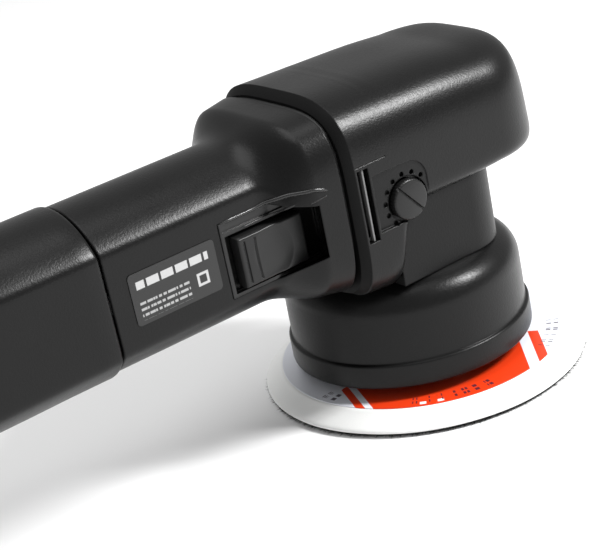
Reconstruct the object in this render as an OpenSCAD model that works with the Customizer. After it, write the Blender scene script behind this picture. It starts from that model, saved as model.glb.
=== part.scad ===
// Dual action polisher. Origin on the drive spindle's axis in the plane of the pad's hook face.
// +Z runs up the spindle, the handle runs along -X, and the switch and dial are on the -Y side.

/* [Pad] */
// Diameter of the hook face
pad_d = 125; // [115:1:130]
// Diameter of the pad's top, where the sloped side ends
pad_top_d = 110.6; // [106:0.2:112]
// Height of the pad's top above the hook face
pad_h = 8; // [7.6:0.1:8.4]
// Orbit stroke: twice the offset of the pad's axis
stroke = 8; // [6:0.5:9]

/* [Head] */
// Half the width of the head
head_hw = 38.7; // [38:0.1:40]
// Height of the head's crown at its rear
head_top = 125.8; // [124.5:0.1:127]
// Height of the overhang's lower edge
head_low = 78; // [77:0.5:80]
// Front of the nose
nose_x = 55; // [54:0.5:57]
// Corner radius of the nose in plan
nose_r = 27; // [24:1:28]
// Lowest point of the rear cheeks
cheek_low = 51.3; // [51.2:0.1:52]

/* [Neck and skirt] */
// Half the width of the neck
neck_hw = 35; // [34:0.5:36]
// Front of the neck
neck_x = 31; // [31:0.5:34]
// Largest radius of the skirt
skirt_r = 46.6; // [46:0.1:48]
// Height of the skirt's lower edge
skirt_low = 13; // [12.5:0.5:14]
// Height of the skirt's top
skirt_top = 51; // [50.5:0.5:52]

/* [Barrel] */
// Radius of the round barrel
barrel_r = 30; // [29:0.5:31]
// Half the distance between the barrel's flat sides
barrel_flat = 24; // [23.5:0.1:24.5]
// Height of the motor's axis
axis_z = 86; // [85.5:0.1:86.5]
// Seam between motor housing and rear handle
seam_x = -132; // [-134:1:-130]
// Rear end of the handle sleeve
sleeve_x = -286; // [-290:1:-280]
// Wall thickness of the mouldings
wall = 2.4; // [2.2:0.1:2.5]

/* [Controls] */
// Dial diameter
dial_d = 14.6; // [13:0.1:15]
// Middle of the dial along X
dial_x = -18.2; // [-18.6:0.1:-17.8]
// Height of the dial's middle
dial_z = 83.4; // [82.5:0.1:84]
// Travel of the slide switch
slide_travel = 8; // [6:0.5:8]

/* [Gears] */
// Pitch radius of the crown gear at its outer end
crown_r = 24; // [23.5:0.1:24]

/* [Hidden] */
crown_teeth = 33;
pinion_teeth = 11;
$fn = 96;
ecc = stroke / 2;
cover = "#2b2b2d";
black = "#1d1d1f";
steel = "#b9bcc0";
copper = "#b5672f";

// ---- Shared shapes ----

// Ring angles: close together at the corners, and one on the barrel's crease.
crease = acos(barrel_flat / barrel_r);
quarter = [0, 13, 26, crease, 41, 46, 51, 57, 64, 72, 81];
last = len(quarter) - 1;
ANG = concat(quarter, [90], [for (i = [last:-1:0]) 180 - quarter[i]],
    [for (i = [1:last]) 180 + quarter[i]], [270], [for (i = [last:-1:1]) 360 - quarter[i]]);

// A section is [x, half width, centre z, height up, exponent up, height down, exponent down, flat,
// lean]. The last leans it back by that share of the height above its centre.
function barrel(x, grow = 0) =
    [x, barrel_r + grow, axis_z, barrel_r + grow, 2, barrel_r + grow, 2, barrel_flat + grow];
function blended(a, b, t) = [for (i = [0:7]) a[i] * (1 - t) + b[i] * t];
function section_r(s, a, d) =
    let (up = sin(a) >= 0, h = up ? s[3] - d : s[5] - d, n = up ? s[4] : s[6], w = s[1] - d)
    min(pow(pow(abs(cos(a)) / w, n) + pow(abs(sin(a)) / h, n), -1 / n),
        (s[7] - d) / max(abs(cos(a)), 0.001));
function section_pt(s, a, d) =
    let (r = section_r(s, a, d), lean = len(s) > 8 ? s[8] : 0)
    [s[0] - lean * r * sin(a), r * cos(a), s[2] + r * sin(a)];

// Skin over a list of rings that all have n points, closed with flat ends.
module skin(pts, n) {
    rings = len(pts) / n;
    sides = [for (i = [0:rings - 2], j = [0:n - 1], k = [0, 1])
        let (a = i * n + j, b = i * n + (j + 1) % n)
        k == 0 ? [a, b + n, b] : [a, a + n, b + n]];
    // Each end fans out from the ring's top, which is never in line with its neighbours.
    top = floor(n / 4);
    polyhedron(points = pts, faces = concat([[for (j = [0:n - 1]) (j + top) % n]], sides,
        [[for (j = [n:-1:1]) (rings - 1) * n + (j + top) % n]]), convexity = 6);
}

// Body lofted along X through sections, made smaller all round by d.
module loft(sections, d = 0) {
    skin([for (s = sections, a = ANG) section_pt(s, a, d)], len(ANG));
}

module tube(ro, ri, h) {
    difference() {
        cylinder(r = ro, h = h);
        translate([0, 0, -1]) cylinder(r = ri, h = h + 2);
    }
}

// Places a shape with its own Z along X, starting at x on the motor's axis.
module on_axis(x) {
    translate([x, 0, axis_z]) rotate([0, 90, 0]) children();
}

module block(x0, x1, y0, y1, z0, z1) {
    translate([x0, y0, z0]) cube([x1 - x0, y1 - y0, z1 - z0]);
}

// Ball bearing as one ring with its shields set back.
module bearing(ro, ri, w) {
    shield_o = ro - (ro - ri) * 0.24;
    shield_i = ri + (ro - ri) * 0.24;
    difference() {
        tube(ro, ri, w);
        for (z = [-1, w - 0.4]) translate([0, 0, z]) tube(shield_o, shield_i, 1.4);
    }
}

module screw_head(d) {
    cylinder(d1 = d * 2, d2 = d * 1.5, h = d * 0.55);
}

// Pan-head screw with its head at z = 0, pointing down, and a cross recess.
module screw(d, l) {
    difference() {
        union() {
            translate([0, 0, -l]) cylinder(d = d, h = l + 0.1);
            screw_head(d);
        }
        for (a = [0, 90]) rotate([0, 0, a])
            translate([-d * 0.5, -d * 0.11, d * 0.2]) cube([d, d * 0.22, d]);
    }
}

// ---- Motor housing and handle ----

flange_x = -44;
flange = [flange_x, 37.2, 88, 34.3, 4.4, 34.3, 4.2, 60];
shelf = [-53, 36.2, 88, 33.6, 4.0, 33.4, 3.8, 60];
flare = [[-69, 0.02], [-65.5, 0.1], [-63, 0.22], [-61, 0.38], [-59, 0.6], [-57, 0.81], [-55.2, 0.94]];
function flared(x, t) = concat([x], [for (i = [1:7]) barrel(x)[i] * (1 - t) + shelf[i] * t]);
housing_sections = concat([barrel(seam_x), barrel(-73)], [for (f = flare) flared(f[0], f[1])],
    [shelf, blended(shelf, flange, 0.6), flange]);

module motor_housing() {
    color(cover) difference() {
        union() {
            difference() {
                loft(housing_sections);
                difference() {
                    intersection() {
                        on_axis(seam_x - 1) cylinder(r = 27.4, h = 45);
                        block(-140, -80, -21.6, 21.6, 50, 120);
                    }
                    handle_screw_holes(seam_x - 1, 8.4, 6.9);
                }
                on_axis(-90) cylinder(r = 19.8, h = 40);
                intersection() {
                    on_axis(-60) cylinder(r = 26, h = 20);
                    block(-61, -40, -19.8, 26, 50, 120);
                }
            }
            for (y = [-26, 26], z = [64, 111]) translate([-52, y, z]) rotate([0, 90, 0])
                cylinder(r = 4.6, h = 8);
        }
        // Seat of the switch frame, and the slot that its rod runs in.
        switch_recess();
        block(-86, -47, -45, -21.3, 71.4, 93);
        block(-91, -62, -22, -19, 81.4, 90.6);
        for (y = [-26, 26], z = [64, 111]) translate([-51, y, z]) rotate([0, 90, 0])
            cylinder(d = 3.4, h = 14);
        handle_screw_holes(seam_x - 1, 2.6, 6.5);
    }
}

// The switch's recess, which closes in where it cuts into the swell behind the flange.
module switch_recess() {
    deep = -barrel_flat + 1.2;
    skin([for (r = [[deep, -46.2, 70.2, 97.8], [deep - 2.2, -46.2, 70.2, 97.8], [-45, -60.1, 78.8, 91.4]])
        each [[r[1], r[0], r[2]], [r[1], r[0], r[3]], [-87.4, r[0], r[3]], [-87.4, r[0], r[2]]]], 4);
}

// Four holes along X round the motor's axis, starting at x.
module handle_screw_holes(x, d, h) {
    for (y = [-11, 11], z = [-21.5, 21.5]) translate([x, y, axis_z + z]) rotate([0, 90, 0])
        cylinder(d = d, h = h);
}

handle_sections = [for (p = [[sleeve_x, -0.6], [-270, 0.6], [-230, 1.4], [-180, 1.4], [-150, 1.1],
    [seam_x - 1.6, 1.1], [seam_x - 0.3, 0]]) barrel(p[0], p[1])];

module rear_handle() {
    color(cover) difference() {
        loft(handle_sections);
        difference() {
            on_axis(sleeve_x - 1) cylinder(r = 26.8, h = 160);
            for (s = [-1, 1]) block(-300, -120, s > 0 ? 21.4 : -40, s > 0 ? 40 : -21.4, 40, 130);
            // Posts that take the end cap's and the motor housing's screws.
            handle_screw_holes(sleeve_x - 1, 8.4, 18);
            handle_screw_holes(-146, 8.4, 18);
        }
        handle_screw_holes(sleeve_x - 1, 2.6, 15);
        handle_screw_holes(-147, 3.3, 20);
    }
}

module end_cap() {
    color(black) difference() {
        union() {
            translate([-0.3, 0, 0]) loft([barrel(-297, -8), barrel(-295.5, -5), barrel(-292, -2.4),
                barrel(sleeve_x, -0.7)]);
            on_axis(sleeve_x - 1) cylinder(r = 19.8, h = 6);
        }
        on_axis(-290) cylinder(r = 18, h = 20);
        on_axis(-300) cylinder(r = 7.3, h = 20);
        // Air slots round the inlet, and the screw holes.
        for (a = [20:20:340]) if (abs(a - 180) > 30) translate([0, 0, axis_z]) rotate([a, 0, 0])
            translate([-300, 12, -1]) cube([12, 5.5, 2]);
        handle_screw_holes(-300, 3.3, 20);
        handle_screw_holes(-300, 6.6, 9);
    }
}

module cable_inlet() {
    color(black) difference() {
        union() {
            on_axis(-301) cylinder(r1 = 7.4, r2 = 8.8, h = 3.65);
            on_axis(-297.4) cylinder(r = 7.2, h = 10.4);
            on_axis(-289.9) cylinder(r = 9.2, h = 2.9);
        }
        on_axis(-302) cylinder(r = 4.25, h = 20);
    }
}

module cable_clamp() {
    color(black) difference() {
        union() {
            block(-284, -276, -15, 15, 80.5, 84.5);
            block(-284, -276, -15.8, 15.8, 78, 80.6);
            for (s = [-1, 1]) translate([-280, s * 11, 84.4]) screw_head(3);
        }
        translate([-285, 0, 87.2]) rotate([0, 90, 0]) cylinder(r = 4.2, h = 12);
    }
}

// ---- Head ----

head_z = 92;
function nose(u) = [nose_x - nose_r + nose_r * u, head_hw - nose_r + nose_r * sqrt(1 - u * u), head_z,
    head_top - head_z - 2.5 - 15 * (1 - sqrt(1 - pow(u, 6))), 3.6,
    (head_z - head_low) * (0.5 + 0.5 * sqrt(1 - pow(u, 6))), 5, 60, 0.09 * u];
function head(x, low, n = 5, top = 0, side = 0) =
    [x, head_hw - side, head_z, head_top - head_z - top, 3.6, head_z - low, n, 60];
head_sections = concat([head(-42, cheek_low + 1.5, 5, 3, 2), head(-39, cheek_low, 6),
    head(-28, cheek_low - 0.2, 7, 0.3), head(-25.2, cheek_low + 1, 7, 0.35), head(-23.4, 56, 7, 0.4),
    head(-22.4, 61, 7, 0.4), head(-21.2, 66, 7, 0.45), head(-19.8, 70.4, 7, 0.5), head(-17.6, 74, 6, 0.5),
    head(-14.5, 76.6, 6, 0.6), head(-10, head_low, 6, 0.7), head(10, head_low, 6, 1.2)],
    [for (a = [0, 22, 38, 52, 64, 75, 90]) nose(sin(a))]);
head_inside = concat([head(-43, cheek_low, 5, 3, 2)],
    [for (s = head_sections) if (s[0] > -40 && s[0] < nose_x - wall) s]);

module head_cover() {
    color(cover) difference() {
        loft(head_sections);
        loft(head_inside, wall);
        translate([0, 0, 46]) linear_extrude(40) neck_outline(0.15);
        block(-26.8, -19, -31.3, 31.3, 46, 78);
        // Vent slots, the dial's panel and hole, and the cover screws' holes.
        for (y = [-45, 30]) block(-38.2, -33.4, y, y + 15, 73.8, 100.8);
        translate([0, -head_hw - 1, 0]) dial_panel(1.7);
        translate([dial_x, -30, dial_z]) rotate([90, 0, 0]) cylinder(d = dial_d + 0.6, h = 20);
        for (y = [-22, 22]) translate([-33, y, 40]) {
            cylinder(d = 3.6, h = 20);
            cylinder(d = 7.4, h = 12.4);
        }
    }
}

// The dial's sunk panel, with a ring of dimples from above the dial round to below it.
module dial_panel(depth) {
    rotate([-90, 0, 0]) linear_extrude(depth) {
        translate([-32.4, -97]) square([14.4, 21]);
        translate([-20, -89]) square([11, 13]);
        translate([-17, -89]) circle(r = 8);
    }
    for (i = [0:7]) translate([dial_x, 0, dial_z]) rotate([0, -44 - i * 25.9, 0])
        translate([9.5, 0, 0]) rotate([-90, 0, 0]) cylinder(d = 1.5, h = depth + 0.6);
}

// Outline of the neck in plan: square behind, round in front, made larger by d.
module neck_outline(d = 0) {
    r = 20;
    union() {
        translate([-20 - d, -neck_hw - d]) square([neck_x - r + 20 + d, 2 * (neck_hw + d)]);
        translate([-20 - d, -neck_hw + r]) square([neck_x + 20 + 2 * d, 2 * (neck_hw - r)]);
        for (s = [-1, 1]) translate([neck_x - r, s * (neck_hw - r)]) circle(r = r + d);
    }
}

plate_spots = [[-14, 29.5], [-14, -29.5], [21, 24], [21, -24]];

module gear_case() {
    color("#8d9094") difference() {
        union() {
            color(cover) translate([0, 0, skirt_top]) linear_extrude(head_low - skirt_top) neck_outline();
            translate([0, 0, head_low - 0.2]) cylinder(r = 29, h = 112.2 - head_low);
            block(-38.2, -18, -31, 31, 58, 73);
            block(-38.2, -10, -19, 19, 70, 104);
            loft([[-42, 33.6, head_z, 28.4, 4, 35, 4, 60], [-38, 33.6, head_z, 28.4, 4, 35, 4, 60]]);
            for (y = [-22, 22]) translate([-33, y, 54.3]) cylinder(r = 3.6, h = 6);
        }
        translate([0, 0, 50]) cylinder(r = 26.5, h = 16);
        translate([0, 0, 65]) cylinder(r = 25.6, h = 33);
        translate([0, 0, 97]) cylinder(r = 13.02, h = 11.2);
        on_axis(-32.5) cylinder(r = 11.5, h = 20.5);
        on_axis(-43) cylinder(r = 13.02, h = 10);
        on_axis(-34) cylinder(r = 9, h = 3);
        for (p = plate_spots) translate([p[0], p[1], 50]) cylinder(d = 3.3, h = 15);
        for (y = [-26, 26], z = [64, 111]) translate([-43, y, z]) rotate([0, 90, 0]) {
            cylinder(d = 4.4, h = 10);
            translate([0, 0, 4.9]) cylinder(r = 4.6, h = 5.1);
        }
        for (y = [-22, 22]) translate([-33, y, 53]) cylinder(d = 2.8, h = 8);
        block(-21, -11.5, -33.6, -27, 73.4, 79);
    }
}

module case_gasket() {
    color("#0c0c0d") difference() {
        loft([[-43.95, 34.8, head_z, 29.8, 4, 37, 4, 60], [-42.05, 34.8, head_z, 29.8, 4, 37, 4, 60]]);
        on_axis(-45) cylinder(r = 20, h = 4);
        for (y = [-26, 26], z = [64, 111]) translate([-45, y, z]) rotate([0, 90, 0])
            cylinder(d = 4.5, h = 4);
    }
}

module housing_screws() {
    color(steel) for (y = [-26, 26], z = [64, 111]) translate([-37.9, y, z]) rotate([0, 90, 0])
        screw(3.3, 12.6);
}

module cover_screws() {
    color(steel) for (y = [-22, 22]) translate([-33, y, 52.4]) mirror([0, 0, 1]) screw(2.7, 8);
}

module handle_screws() {
    color(steel) for (y = [-11, 11], z = [64.5, 107.5]) {
        translate([-146.1, y, z]) rotate([0, -90, 0]) screw(2.5, 19);
        translate([-291.1, y, z]) rotate([0, -90, 0]) screw(2.5, 18);
    }
}

module bearing_plate() {
    color("#8d9094") difference() {
        union() {
            translate([0, 0, 46.6]) cylinder(r = 38, h = 2.9);
            translate([0, 0, 46.6]) cylinder(r = 26.45, h = 19.2);
        }
        translate([0, 0, 55]) cylinder(r = 17.52, h = 12);
        translate([0, 0, 45]) cylinder(r = 14.5, h = 12);
        for (p = plate_spots) translate([p[0], p[1], 45]) cylinder(d = 3.6, h = 8);
    }
}

module plate_screws() {
    color(steel) for (p = plate_spots) translate([p[0], p[1], 46.5]) mirror([0, 0, 1]) screw(3.2, 16);
}

module spindle_seal() {
    color("#17120f") translate([0, 0, 48.2]) tube(14.45, 11.05, 5.4);
}

skirt_profile = [[skirt_r - 0.6, skirt_low], [skirt_r, skirt_low + 1.2], [skirt_r, skirt_low + 5],
    [skirt_r - 0.7, skirt_low + 5.6], [skirt_r - 0.7, skirt_low + 8.2], [skirt_r - 0.1, skirt_low + 9.2],
    [skirt_r - 0.7, skirt_low + 10.4], [skirt_r - 1.2, 36]];

module skirt() {
    color(cover) difference() {
        rotate_extrude() difference() {
            polygon(concat(skirt_profile,
                [for (a = [0:10:90]) [skirt_r - 12.3 + 11 * cos(a), skirt_top - 11 + 11 * sin(a)]],
                [[26.6, skirt_top], [26.6, 49.6], [skirt_r - 8.5, 49.6], [skirt_r - 6.4, 46.4],
                [skirt_r - 4.2, 43], [skirt_r - 3.2, skirt_low]]));
            translate([skirt_r - 4, skirt_low + 2]) square([0.9, 2]);
        }
        for (p = plate_spots) translate([p[0], p[1], 45]) cylinder(d = 3.6, h = 10);
    }
}

module vent_grilles() {
    color(black) for (s = [-1, 1]) {
        for (z = [73.9, 99.3]) block(-38.1, -33.5, s * 37 - 0.6, s * 37 + 0.6, z, z + 1.4);
        block(-38.1, -33.5, s * 36.2 - 0.4, s * 36.2 + 0.4, 73.9, 100.7);
        block(-36.2, -35.4, s * 37 - 1.1, s * 37 + 1.1, 73.9, 100.7);
    }
}

module rating_plate() {
    color("#26272b") translate([-124.6, -barrel_flat - 0.3, 75.8]) rotate([90, 0, 0])
        translate([0, 0, -0.29]) linear_extrude(0.5) union() {
            translate([1.5, 0]) square([31.2, 18.4]);
            translate([0, 1.5]) square([34.2, 15.4]);
            for (x = [1.5, 32.7], y = [1.5, 16.9]) translate([x, y]) circle(r = 1.5);
        }
}

// ---- Switch and speed control ----

module switch_frame() {
    color(cover) difference() {
        union() {
            block(-87.2, -46.4, -25.2, -22.9, 70.4, 97.6);
            block(-85.8, -47.2, -23.1, -21.4, 71.6, 92.8);
        }
        block(-84.6, -47.6, -26, -22.2, 72.2, 91.8);
        block(-83.4, -62.6, -23, -21, 80, 92);
    }
}

module switch_slider() {
    color("#323234") difference() {
        union() {
            block(-82.8, -56, -27.2, -22.4, 73, 91);
            block(-82, -71, -22.5, -21.6, 80.8, 91);
            block(-80, -76, -21.7, -20.4, 82.2, 89.8);
        }
        translate([-68.4, -62.8, 82]) sphere(r = 37);
        for (x = [-80.8, -76.4]) block(x, x + 0.6, -28, -26.7, 74.2, 89.8);
    }
}

module switch_rod() {
    color(steel) difference() {
        union() {
            block(-196, -80.05, -21.2, -20.1, 82.2, 89.8);
            block(-196, -194.6, -21.2, -11, 82.2, 89.8);
        }
        for (x = [-186:12:-92]) translate([x, -18, 86]) rotate([90, 0, 0]) cylinder(r = 1.6, h = 6);
    }
}

module switch_block() {
    color(black) {
        block(-185, -164, -14, 14, 70, 100);
        block(-185, -164, -19.4, -14, 74, 80.5);
        for (z = [74, 84, 94]) block(-163.9, -161.6, 6, 12, z, z + 2);
    }
}

module speed_dial() {
    color("#2f2f31") translate([dial_x, -36.6, dial_z]) rotate([90, 0, 0]) difference() {
        union() {
            cylinder(d = dial_d, h = 2.6);
            translate([0, 0, 2.5]) cylinder(d1 = dial_d, d2 = dial_d - 1.2, h = 0.6);
        }
        translate([0, 0, -1]) cylinder(r = 3.05, h = 2.6);
        rotate([0, 0, -50]) translate([-7.2, -0.5, 2]) cube([14.4, 1, 3]);
    }
}

module potentiometer() {
    color("#4a6fa5") translate([dial_x, -28.6, dial_z]) rotate([90, 0, 0]) {
        translate([0, 0, -1.4]) cylinder(r = 6.4, h = 6);
        cylinder(r = 3, h = 9.2);
    }
    color(steel) for (i = [-1:1]) block(dial_x - 0.6 + i * 3, dial_x + 0.6 + i * 3, -29.6, -28.8, 74, 78);
}

module speed_module() {
    color("#1f5a36") block(-244, -204, -16, 16, 74, 75.6);
    color(black) {
        block(-240, -226, -12, 2, 75.5, 90);
        block(-222, -210, -10, 8, 75.5, 84);
    }
    color(steel) block(-240, -210, 9, 13, 75.5, 96);
}

// ---- Motor ----

module stator_core() {
    color("#8a8d91") difference() {
        intersection() {
            on_axis(-126) cylinder(r = 27.2, h = 36);
            block(-127, -89, -19.5, 19.5, 50, 120);
        }
        on_axis(-127) cylinder(r = 13.6, h = 38);
        for (s = [-1, 1]) block(-127, -89, s * 15.4 - 2.2, s * 15.4 + 2.2, 77, 95);
    }
}

module stator_coils() {
    color(copper) for (s = [-1, 1]) {
        for (x = [-131.2, -89.8]) on_axis(x) rotate([0, 0, s > 0 ? 120 : -60]) rotate_extrude(angle = 120)
            translate([14.4, 0]) square([4.4, 5]);
        block(-126.1, -89.9, s * 15.4 - 2.1, s * 15.4 + 2.1, 77.2, 94.8);
    }
}

module fan_baffle() {
    color(black) on_axis(-64.4) tube(19.75, 13.5, 1.8);
}

module front_bearing() {
    color(steel) on_axis(-42.4) bearing(13, 5, 8);
}

module rear_bearing() {
    color(steel) on_axis(-160) bearing(11, 4, 7);
}

// Spider that carries the rear bearing in the handle's sleeve.
module bearing_sleeve() {
    color(black) difference() {
        union() {
            on_axis(-160.6) cylinder(r = 13.4, h = 8.4);
            intersection() {
                on_axis(-156) tube(26.75, 24.4, 4);
                block(-160, -140, -21.35, 21.35, 50, 120);
            }
            for (s = [-1, 1]) block(-156, -152.2, s * 6 - 1.5, s * 6 + 1.5, axis_z - 25, axis_z + 25);
            for (s = [-1, 1]) block(-156, -152.2, s > 0 ? 12 : -21.35, s > 0 ? 21.35 : -12, 82.5, 89.5);
        }
        on_axis(-160.02) cylinder(r = 11.02, h = 9);
        on_axis(-162) cylinder(r = 5, h = 4);
        block(-160, -150, -22, -19.4, 81.6, 90.4);
    }
}

module brush_holders() {
    color("#8c5a2b") difference() {
        union() {
            intersection() {
                on_axis(-151.9) cylinder(r = 26.7, h = 2);
                block(-160, -140, -18.9, 18.9, 50, 120);
            }
            for (s = [-1, 1]) block(-150, -134.4, -5, 5, axis_z + s * 18.8 - 6, axis_z + s * 18.8 + 6);
        }
        on_axis(-153) cylinder(r = 12, h = 4);
        for (s = [-1, 1]) block(-147.1, -136.4, -3.4, 3.4, axis_z + s * 19 - 7, axis_z + s * 19 + 7);
    }
}

module carbon_brushes() {
    color("#3a3a3c") for (s = [-1, 1]) difference() {
        block(-147, -136.5, -3.3, 3.3, axis_z + s * 14.4 - 4.3, axis_z + s * 14.4 + 4.3);
        on_axis(-150) cylinder(r = 10.6, h = 20);
    }
}

// Coil spring of wire radius w on a coil radius r, n turns over a length h.
module spring(r, w, n, h) {
    steps = 14 * n;
    skin([for (i = [0:steps], k = [0:5])
        let (t = 360 * n * i / steps, a = 60 * k, q = r + w * cos(a))
        [q * cos(t), q * sin(t), h * i / steps - w * sin(a)]], 6);
}

module brush_springs() {
    color(steel) for (s = [-1, 1]) translate([-141.75, 0, axis_z + s * 19.1])
        mirror([0, 0, s > 0 ? 0 : 1]) spring(2.4, 0.35, 4, 4.6);
}

module brush_caps() {
    color(black) for (s = [-1, 1])
        block(-147, -136.5, -3.3, 3.3, axis_z + s * 24.7 - 0.4, axis_z + s * 24.7 + 0.4);
}

module armature_shaft() {
    color(steel) {
        on_axis(-160.4) cylinder(r = 3.95, h = 10);
        on_axis(-150.6) cylinder(r = 4.95, h = 118);
        on_axis(-32.8) cylinder(r = 4, h = 21);
    }
}

module armature_core() {
    color("#7d8084") on_axis(-126) difference() {
        tube(13, 4.95, 36);
        for (a = [0:30:330]) rotate([0, 0, a]) translate([12.2, 0, -1]) {
            translate([-2.4, 0, 0]) cylinder(r = 1.5, h = 38);
            translate([-2, -0.5, 0]) cube([4, 1, 38]);
        }
    }
}

module armature_windings() {
    color(copper) for (x = [-131.5, -89.9]) on_axis(x) rotate_extrude() difference() {
        translate([4.95, 0]) square([7.3, 5.4]);
        for (z = [0, 5.4]) translate([12.25, z]) circle(r = 1.6);
    }
    color(copper) for (a = [0:30:330]) on_axis(-126.2) rotate([0, 0, a]) translate([9.8, 0, 0])
        cylinder(r = 1.45, h = 36.4);
}

module commutator() {
    color(copper) on_axis(-148) difference() {
        union() {
            tube(10.5, 4.95, 13);
            translate([0, 0, 12.8]) tube(11.6, 4.95, 2.2);
        }
        for (a = [0:15:345]) rotate([0, 0, a]) translate([9.4, -0.2, -1]) cube([3, 0.4, 17]);
    }
}

module cooling_fan() {
    color("#d8d4c6") on_axis(-57.6) {
        tube(7, 4.95, 9);
        translate([0, 0, 7]) tube(18.6, 6.9, 2);
        for (a = [0:36:324]) rotate([0, 0, a]) translate([6.4, -0.8, 0]) cube([11.8, 1.6, 7.2]);
    }
}

// ---- Gears ----

// Straight bevel gears about one apex. Each flank is an involute on the back cone.
pinion_r = crown_r * pinion_teeth / crown_teeth;
cone_r = sqrt(crown_r * crown_r + pinion_r * pinion_r);
cone_in = cone_r - 7.5;
module_mm = 2 * crown_r / crown_teeth;
pressure = 20;
backlash = 0.09;
function inv(a) = tan(a) * 180 / PI - a;

// Half the tooth's angle, in degrees of the gear's own turn, at a height h above the pitch cone.
function tooth_half(teeth, gamma, h) =
    let (n = teeth / cos(gamma), rp = n * module_mm / 2, rb = rp * cos(pressure), r = rp + h,
        here = 90 / n + inv(pressure) - inv(r > rb ? acos(rb / r) : 0) - backlash / rp * 180 / PI / 2)
    here / cos(gamma);

// One turn of the tooth outline as [turn, height above the pitch cone].
function outline(teeth, gamma, shift) = let (hs = [-0.98, -0.55, -0.15, 0.25, 0.55, 0.78] * module_mm)
    [for (i = [0:teeth - 1]) each concat(
        [for (h = hs) [(i + shift) * 360 / teeth - tooth_half(teeth, gamma, h), h]],
        [for (k = [5:-1:0]) [(i + shift) * 360 / teeth + tooth_half(teeth, gamma, hs[k]), hs[k]]])];

function on_cone(gamma, len, turn, h) = let (g = gamma + atan(h / cone_r))
    [len * sin(g) * cos(turn), len * sin(g) * sin(turn), len * cos(g)];

// Toothed ring with its apex at the origin and its axis along +Z, closed by a flat back.
module bevel_teeth(teeth, gamma, back_z, back_out, inside, shift) {
    o = outline(teeth, gamma, shift);
    n = len(o);
    turns = [for (p = o) p[0]];
    pts = concat([for (t = turns) [inside * cos(t), inside * sin(t), back_z]],
        [for (t = turns) [back_out * cos(t), back_out * sin(t), back_z]],
        [for (p = o) on_cone(gamma, cone_r, p[0], p[1])],
        [for (p = o) on_cone(gamma, cone_in, p[0], p[1])],
        [for (t = turns) [inside * cos(t), inside * sin(t), cone_in * cos(gamma) + 0.4]]);
    faces = [for (i = [0:4], j = [0:n - 1], k = [0, 1])
        let (a = i * n + j, b = i * n + (j + 1) % n, c = ((i + 1) % 5) * n)
        k == 0 ? [a, b, c + (j + 1) % n] : [a, c + (j + 1) % n, c + j]];
    polyhedron(points = pts, faces = faces, convexity = 10);
}

module crown_gear() {
    gamma = atan(crown_teeth / pinion_teeth);
    color("#a9a38f") difference() {
        union() {
            translate([0, 0, axis_z]) mirror([0, 0, 1])
                bevel_teeth(crown_teeth, gamma, 14, crown_r + 0.6, 13, 0);
            translate([0, 0, 67]) cylinder(r = 14.2, h = 10.4);
        }
        translate([0, 0, 60]) cylinder(r = 7.5, h = 20);
    }
}

module pinion() {
    gamma = atan(pinion_teeth / crown_teeth);
    color("#a9a38f") difference() {
        union() {
            translate([0, 0, axis_z]) rotate([0, -90, 0])
                bevel_teeth(pinion_teeth, gamma, 26.4, pinion_r - 1.2, 3, 0.5);
            on_axis(-31) cylinder(r = 6.2, h = 6);
        }
        on_axis(-32) cylinder(r = 4.02, h = 20);
    }
}

module pinion_nut() {
    color(steel) on_axis(-16.2) difference() {
        cylinder(r = 4.9, h = 3.2, $fn = 6);
        translate([0, 0, -1]) cylinder(r = 4.02, h = 6);
    }
}

// ---- Drive ----

module drive_spindle() {
    color(steel) difference() {
        union() {
            translate([ecc, 0, 22.6]) cylinder(r = 16.6, h = 21.6);
            translate([0, 0, 44]) cylinder(r = 11, h = 10.9);
            translate([0, 0, 54.8]) cylinder(r = 8.45, h = 12.1);
            translate([0, 0, 66.8]) cylinder(r = 7.48, h = 13);
            translate([0, 0, 79.7]) cylinder(r = 4.95, h = 26.4);
        }
        translate([ecc, 0, 20]) cylinder(r = 13.02, h = 22.5);
        for (y = [-9, 9]) translate([-6, y, 33]) rotate([0, -90, 0]) cylinder(d = 3, h = 12);
    }
}

module gear_clip() {
    color(steel) translate([0, 0, 77.5]) tube(10.4, 7.5, 1.4);
}

module upper_bearing() {
    color(steel) translate([0, 0, 98.1]) bearing(13, 5, 8);
}

module lower_bearing() {
    color(steel) translate([0, 0, 55.1]) bearing(17.5, 8.5, 10);
}

// Half ring of steel opposite the pad's offset, with two trim pockets.
module counterweight() {
    color("#6f7276") difference() {
        translate([0, 0, 24.5]) rotate([0, 0, 100]) rotate_extrude(angle = 160)
            translate([10, 0]) square([27.8, 17]);
        translate([ecc, 0, 20]) cylinder(r = 16.66, h = 30);
        for (y = [-9, 9]) translate([-8, y, 33]) rotate([0, -90, 0]) {
            cylinder(d = 3.4, h = 38);
            translate([0, 0, 20]) cylinder(d = 7, h = 20);
        }
        for (a = [125, 235]) rotate([0, 0, a]) translate([31, 0, 38]) cylinder(r = 3, h = 5);
    }
}

module weight_screws() {
    color(steel) for (y = [-9, 9]) translate([-28.1, y, 33]) rotate([0, -90, 0]) screw(2.9, 20);
}

module eccentric_bearings() {
    color(steel) for (z = [24.4, 33.4]) translate([ecc, 0, z]) bearing(13, 5, 8);
}

module bearing_clip() {
    color(black) translate([ecc, 0, 22.9]) tube(12.9, 10.6, 1.3);
}

// ---- Pad ----

module pad_spindle() {
    color(steel) translate([ecc, 0, 0]) difference() {
        union() {
            translate([0, 0, 12.6]) cylinder(r = 9.6, h = 9.6);
            translate([0, 0, 22.1]) cylinder(r = 6.4, h = 2.1);
            translate([0, 0, 24.1]) cylinder(r = 4.95, h = 17.9);
        }
        translate([0, 0, 12]) cylinder(r = 4.02, h = 17);
        for (s = [-1, 1]) block(-12, 12, s > 0 ? 8 : -12, s > 0 ? 12 : -8, 12, 18);
    }
}

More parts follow.
